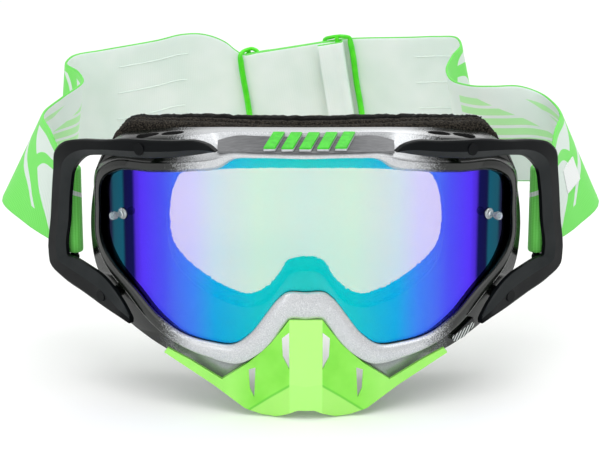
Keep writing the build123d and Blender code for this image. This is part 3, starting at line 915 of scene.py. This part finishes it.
GUARD_SLOTS = [[(6.5, -32.8), (9.4, -35.4), (9, -43), (6.5, -47.6)],
               [(19.8, -48.4), (22.5, -49.4), (22.1, -57.4), (20.4, -61)]]


def prism(outline):
    """A cutter: a flat outline of (x, z), run through the whole depth of the guard."""
    return piece("prism", *loft([[(x, y, z) for x, z in outline] for y in GUARD_DEPTHS],
                                round_path=False), [])


def make_guard(material):
    """A folded plate cut to its outline, with four slots and two hooks behind."""
    columns = [(-x, rows) for x, rows in GUARD_FOLDS[:0:-1]] + GUARD_FOLDS
    rings = []
    for x, rows in columns:
        front = [(x, LENS_FRONT + y, z) for z, y in rows]
        rear = [(x, y + GUARD_THICKNESS, z) for x, y, z in reversed(front)]
        rings.append(front + rear)
    guard = piece("nose_guard_plate", *loft(rings, round_path=False), [material])
    outline = GUARD_OUTLINE + [(-x, z) for x, z in GUARD_OUTLINE[-2:0:-1]]
    combine(guard, prism(outline), "INTERSECT")
    for slot_outline in GUARD_SLOTS:
        for side in (1, -1):
            combine(guard, prism([(side * x, z) for x, z in slot_outline]), "DIFFERENCE")
    hooks = []
    for x in (17.5, -17.5):
        hooks.append(loft([[(x + dx, y, -46.6 + dz) for dx, dz in
                            ((-2.9, -1.0), (2.9, -1.0), (2.9, 1.0), (-2.9, 1.0))]
                           for y in (-56.5, -50.5, -45.0)], round_path=False))
    hook = piece("nose_guard_hooks", *joined(hooks), [material])
    recoat(guard, material)
    bevel(guard, 0.45, 3, 18)
    bevel(hook, 0.4, 2)
    tidy(guard, 12)
    settle(guard, "nose_guard", "green_plastic", "nose_guard")
    settle(hook, "nose_guard", "green_plastic")


# ---- strap ----

def tilted(along, lift=0.0):
    """(x, z) on the strap's tilted stretch at the back, along from its middle and up across it."""
    return (TILT_CENTRE[0] + along * cos(TILT) - lift * sin(TILT),
            TILT_CENTRE[1] + along * sin(TILT) + lift * cos(TILT))


def tilted_station(along, y, half=STRAP_HALF):
    (top_x, top_z), (foot_x, foot_z) = tilted(along, half), tilted(along, -half)
    return (top_x, y, top_z), (foot_x, y, foot_z)


def wrapped_end(side):
    """The strap's sewn-back front end, round the upright bar: stations of top and foot."""
    x, y = STRAP_BAR
    route = [(1.0, 13.0), (0.2, 7.0), (-2.4, 2.4), (-2.9, 0.0), (-1.6, -2.4), (0.9, -2.9),
             (2.9, -0.8)]
    return [((side * (x + dx), y + dy, 20.2), (side * (x + dx), y + dy, -15.6))
            for dx, dy in route]


def fold_stations(centre, side, strap_y, bar_y):
    """The strap's other end, folded round a slide's middle bar towards the bar's far side."""
    way = 1 if bar_y > strap_y else -1
    reach = abs(bar_y - strap_y)
    far = bar_y + way * reach
    steps = [(-side * 3.0, strap_y), (side * 0.4, strap_y), (side * (reach * 0.75 + 0.3),
             strap_y + way * reach * 0.45), (side * (reach * 0.95 + 0.3), bar_y),
             (side * (reach * 0.75 + 0.3), far - way * reach * 0.4), (side * 0.3, far),
             (-side * 2.6, far - way * 0.25), (-side * 6, far - way * 0.1), (-side * 9.4, far)]
    return [tilted_station(centre + step, y, STRAP_HALF - (0.6 if k > 3 else 0.2))
            for k, (step, y) in enumerate(steps)]


# each half of the strap as stations of its top and foot, from its outrigger to the far slide
RIGHT_ROUTE = wrapped_end(-1) + [
    ((-100, 1, 21.5), (-101.5, 1, -15.5)), ((-107, 20, 29.5), (-119, 18, -9.8)),
    ((-112.4, 43, 34), (-131, 36, -3.5)), ((-106, 54, 38), (-121, 49, -1)),
    ((-98.5, 65, 42.5), (-104.5, 60, -0.5)), ((-101.5, 77, 44.8), (-104.5, 73, 1.6)),
    ((-108.5, 90, 46.8), (-112, 86, 3.6)), ((-106, 98.5, 48.5), (-109, 95, 5.2)),
    ((-94, 104, 50), (-97, 102, 6.5)), ((-80, 109.5, 51.6), (-82, 108, 8)),
    ((-68, 113.5, 53.2), (-70, 112.5, 9.8)), ((-57.5, 117, 55.2), (-60, 116, 11.8)),
    ((-49, 118.9, 55.2), (-52.5, 118.2, 11.6)), ((-42, 119.7, 53.4), (-46.5, 119.3, 9.8)),
    ((-36.8, 120.1, 50.8), (-42, 120, 7.8)), ((-32.6, 120.2, 47.4), (-38.6, 120.2, 4.4)),
] + [tilted_station(s, INNER_LAYER) for s in (-22, -16, -8, 0, 7, 14)] \
  + fold_stations(SLIDE_AT["left"], 1, INNER_LAYER, 118.45)

LEFT_ROUTE = wrapped_end(1) + [
    ((100.5, 1, 22), (102, 1, -14.8)), ((104.6, 18, 30), (115.5, 16.5, -10.6)),
    ((108.5, 41, 36), (126.5, 36, -3.6)), ((103, 49, 40.2), (121, 43.5, -0.5)),
    ((93.5, 51.8, 43.2), (109, 48, 1)), ((82, 55, 42.6), (93, 52, 0.4)),
    ((72.5, 61, 41.8), (81, 59, -0.6)), ((64.8, 69, 43), (73.5, 67, 0.6)),
    ((63.2, 76, 45.8), (71, 75, 3)), ((66.5, 87, 50.4), (75, 85, 7.4)),
    ((71, 96.5, 54), (80, 94.5, 11)), ((69.6, 103.5, 56), (78, 101.5, 13)),
    ((61, 109.8, 55.5), (67, 108.5, 12.5)), ((50, 114.4, 54.4), (54.5, 113.4, 11.2)),
    ((38, 119.2, 53.4), (43, 118.6, 10)), ((28, 121.8, 52.8), (34, 121.6, 9.6)),
] + [tilted_station(s, OUTER_LAYER) for s in (23, 17, 9, 1, -7, -14.5)] \
  + fold_stations(SLIDE_AT["right"], -1, OUTER_LAYER, 124.2)


class Ribbon:
    """A strap's middle surface, sampled evenly from stations of its top and bottom edge."""

    def __init__(self, stations, steps=7):
        self.top = smooth([t for t, f in stations], steps)
        self.foot = smooth([f for t, f in stations], steps)
        middle = (self.top + self.foot) / 2
        run = np.linalg.norm(np.diff(middle, axis=0), axis=1)
        self.along = np.concatenate([[0], np.cumsum(run)])
        self.length = self.along[-1]

    def rows(self, shares):
        """Points of the middle surface: one row along the strap for each share across it."""
        return np.stack([self.top + (self.foot - self.top) * s for s in shares], 1)

    def normals(self, rows, side):
        """The direction out of the strap's outer face at each point of the rows."""
        ahead = np.gradient(rows, axis=0)
        across = self.foot - self.top
        way = np.cross(across[:, None, :], ahead) * side
        return way / (np.linalg.norm(way, axis=2)[:, :, None] + 1e-12)


OUTSIDE, INSIDE, SELVEDGE = 0, 1, 2  # the strap's materials
FOLDED_ROWS = 56  # the strap's last rows, folded round the slide, are plain on both faces
STRAP_THICK = 0.62  # half the webbing's thickness
BEADS_FROM_END = (128, 92)
TAG_ALONG = 52.0  # from the front end of the strap


def make_strap(name, stations, side, materials):
    """A woven ribbon with rounded selvedges; its outer and inner faces have their own finish."""
    ribbon = Ribbon(stations)
    shares = np.array([0.0, 0.012, 0.035, 0.09, 0.2, 0.35, 0.5, 0.65, 0.8, 0.91, 0.965, 0.988,
                       1.0])
    thick = STRAP_THICK * np.array([0.35, 0.85, 1.0, 0.97, 0.95, 0.95, 0.95, 0.95, 0.95, 0.97,
                                    1.0, 0.85, 0.35])
    rows = ribbon.rows(shares)
    normals = ribbon.normals(rows, side)
    outer = rows + normals * thick[None, :, None]
    inner = rows - normals * thick[None, :, None]
    rings = np.concatenate([outer, inner[:, ::-1]], 1)
    points, faces = loft(rings, round_path=False)
    per = 2 * len(shares)
    plain = len(shares) - 3  # quads across one face, less the selvedge at each side
    edge, inside = [SELVEDGE], [INSIDE] * plain
    woven = edge + [OUTSIDE] * plain + 3 * edge + inside + 2 * edge
    folded = edge + inside + 3 * edge + inside + 2 * edge
    marks = woven * (len(rings) - 1 - FOLDED_ROWS) + folded * FOLDED_ROWS + 2 * edge
    strap = piece(name, points, faces, materials, marks, sharp=70)
    layer = strap.data.uv_layers.new(name="cloth")
    spots = np.concatenate([shares, shares[::-1]]) * 2 * STRAP_HALF
    for loop in strap.data.loops:
        i, j = divmod(loop.vertex_index, per)
        layer.data[loop.index].uv = (ribbon.along[i] * MM, spots[j] * MM)
    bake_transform(strap)
    return strap, ribbon


def make_beads(name, ribbon, side, first, last, material):
    """Three beads of silicone along the strap's inner face, between two distances along it."""
    chosen = np.where((ribbon.along >= first) & (ribbon.along <= last))[0]
    parts = []
    for share in (0.22, 0.5, 0.78):
        rows = ribbon.rows([share])
        line = (rows - ribbon.normals(rows, side) * STRAP_THICK)[chosen, 0]
        dense = smooth(line[::2], 5)
        swell = 0.28 + 0.07 * np.sin(np.arange(len(dense)) * 1.1)
        swell[:3] *= (0.3, 0.7, 0.9)
        swell[-3:] *= (0.9, 0.7, 0.3)
        parts.append(tube(dense, swell, 8))
    return piece(name, *joined(parts), [material], sharp=180)


def make_tag(ribbon, material):
    """A small folded label sewn on the outside of the wearer's left half."""
    k = int(np.argmin(np.abs(ribbon.along - TAG_ALONG)))
    rows = ribbon.rows([0.38, 0.44, 0.5, 0.56, 0.62])
    normals = ribbon.normals(rows, 1)
    rings = []
    for step in (-2, -1, 0, 1, 2):
        base, way = rows[k + step], normals[k + step]
        crown = 1.25 - 0.08 * step ** 2
        rings.append(np.concatenate([base + way * crown, (base + way * 0.66)[::-1]]))
    tag = piece("strap_tag_label", *loft(rings, round_path=False), [material], sharp=40)
    return settle(tag, "root", "tag_fabric", "strap_tag")


def make_slide(name, side, bars, reach, material):
    """A wire-like ladder: two outer bars joined by arches over the strap's edges, and a middle bar."""
    centre = SLIDE_AT[name]
    outer_y, middle_y, inner_y = bars
    high = 22.1
    places = ((centre + side * reach, outer_y), (centre - side * reach, inner_y))

    def spot(along, y, lift):
        x, z = tilted(along, lift)
        return (x, y, z)

    def shoulder(x, y, sign):
        """From the side of an outer bar to the arch over the strap's edge."""
        return [spot(x, y, sign * (high - 3)),
                spot(x * 0.96 + centre * 0.04, y, sign * (high - 0.6)),
                spot((x + centre) / 2, (y + middle_y) / 2, sign * (high + 0.7))]

    loop = []
    arch_y = ((outer_y + inner_y) / 2 + middle_y) / 2
    for sign in (1, -1):
        first, second = places[::sign]
        loop += [spot(*first, 0)] + shoulder(*first, sign)
        loop += [spot(centre, arch_y, sign * (high + 0.9))] + shoulder(*second, sign)[::-1]
    path = smooth(loop, 6, closed=True)
    lift = (path[:, 2] - TILT_CENTRE[1]) * cos(TILT) - (path[:, 0] - TILT_CENTRE[0]) * sin(TILT)
    thick = np.interp(np.abs(lift), [19, 22.3], [1.4, 0.9])
    parts = [tube(path, thick, 12, closed=True)]
    cross = smooth([spot(centre, middle_y, lift) for lift in (-high - 0.7, -12, 0, 12, high + 0.7)])
    parts.append(tube(cross, 1.1, 12))
    slide = piece(f"slide_{name}_ladder", *joined(parts), [material], sharp=50)
    settle(slide, f"slide_{name}", "slide_plastic", f"slide_{name}")


# ---- everything ----

CAMERA_PLACE = (-0.0023, -0.7718, 0.2011)
CAMERA_DOWN = 15.0  # degrees below level
CAMERA_LENS = 115.3


def make_stage():
    """A wide pale floor under the goggles, soft lights and the camera."""
    level = cad_box[0].z - 0.0002
    mesh = bpy.data.meshes.new("floor")
    mesh.from_pydata([(6.0 * x, 6.0 * y, level) for x, y in ((-1, -1), (1, -1), (1, 1), (-1, 1))],
                     [], [(0, 1, 2, 3)])
    mesh.materials.append(floor_finish())
    added("floor", mesh)

    world = bpy.data.worlds.new("studio")
    bpy.context.scene.world = world
    world.use_nodes = True
    background = world.node_tree.nodes["Background"]
    background.inputs["Color"].default_value = (1.0, 1.0, 1.0, 1.0)
    background.inputs["Strength"].default_value = 0.82

    for label, place, target, power, width in (
            ("over", (0.1, -0.35, 1.3), (0, 0, 0), 10.0, 1.4),
            ("front", (-0.7, -1.3, 0.6), (0, 0, 0), 3.0, 0.8),
            ("back", (0.5, 1.3, 0.9), (0, 0.05, 0), 4.0, 0.9)):
        light = bpy.data.lights.new(label, "AREA")
        light.energy = power
        light.size = width
        obj = added(label, light)
        obj.location = place
        obj.rotation_euler = (Vector(target) - Vector(place)).to_track_quat("-Z", "Y").to_euler()

    camera = added("camera", bpy.data.cameras.new("camera"))
    camera.data.lens = CAMERA_LENS
    camera.data.sensor_width = 36.0
    camera.data.clip_start = 0.01
    camera.location = CAMERA_PLACE
    camera.rotation_euler = (radians(90.0 - CAMERA_DOWN), 0, 0)
    bpy.context.scene.camera = camera


def make_all():
    black = plastic_finish("black_plastic", "050709", "080b0d", 0.42, shine=0.1)
    make_frame([paint_finish(), tunnel_finish()])
    make_brow_plate(plate_finish())
    make_brow_badge(badge_finish("badge_green", "2fb80c", "3ccc18"),
                    badge_finish("badge_silver", "b9bdc0", "d2d5d7", 0.3))
    repaint("side_badge", lozenge_finish())
    make_lens(lens_finish())
    make_posts(clear_finish(), black)
    foam = foam_finish("foam", "0c0b0a", "403b34")
    # depths behind the frame, setback, lift of the brow's inner edge and crown of its outer edge
    make_foam("foam_base", 0.1, 7.0, 0.0, 4.6, 0.0, foam, "foam", 0.10)
    make_foam("foam_middle", 7.1, 13.0, 0.5, 2.8, 1.0, foam, "foam", 0.14)
    make_foam("foam_fleece", 13.1, 18.8, 0.9, 1.0, 2.2, fleece_finish(), "fleece", 0.22)
    filter_foam = foam_finish("filter_foam", "0b0b0b", "2e2e2d")
    repaint("vent_filter_top", filter_foam)
    repaint("vent_filter_bottom", filter_foam)
    # a paler copy of the black plastic for the outrigger ridge's inner facet pair: painted light, also
    # a little shinier
    facets = plastic_finish("black_lit_facet", "1d2122", "26292a", 0.42, shine=0.15)
    for name, side in (("left", 1), ("right", -1)):
        make_outrigger(name, side, [black, facets])
        bevel(repaint(f"outrigger_pins_{name}", black), 0.35)
    make_guard(green_finish())

    cloth = [strap_outer_finish(), strap_inner_finish(),
             plastic_finish("strap_edge", "74dc62", "66d054", 0.75, 0.3)]
    silicone = silicone_finish()
    right, right_ribbon = make_strap("strap_right_ribbon", RIGHT_ROUTE, -1,
                                     cloth)
    left, left_ribbon = make_strap("strap_left_ribbon", LEFT_ROUTE, 1,
                                   cloth)
    for name, ribbon, side in (("left", left_ribbon, 1), ("right", right_ribbon, -1)):
        first, last = (ribbon.length - distance for distance in BEADS_FROM_END)
        beads = make_beads(f"grip_beads_{name}_lines", ribbon, side, first, last, silicone)
        settle(beads, "root", "silicone", f"grip_beads_{name}")
    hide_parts("strap_left", "strap_loop_left", "strap_end_right")
    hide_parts("strap_right", "strap_loop_right", "strap_end_left")
    tag = make_tag(left_ribbon, tag_finish())

    plastic = slide_finish()
    make_slide("left", 1, (119.7, 118.45, 124.2), 6.0, plastic)
    make_slide("right", -1, (118.1, 124.2, 124.2), 4.0, plastic)


make_stage()
make_all()
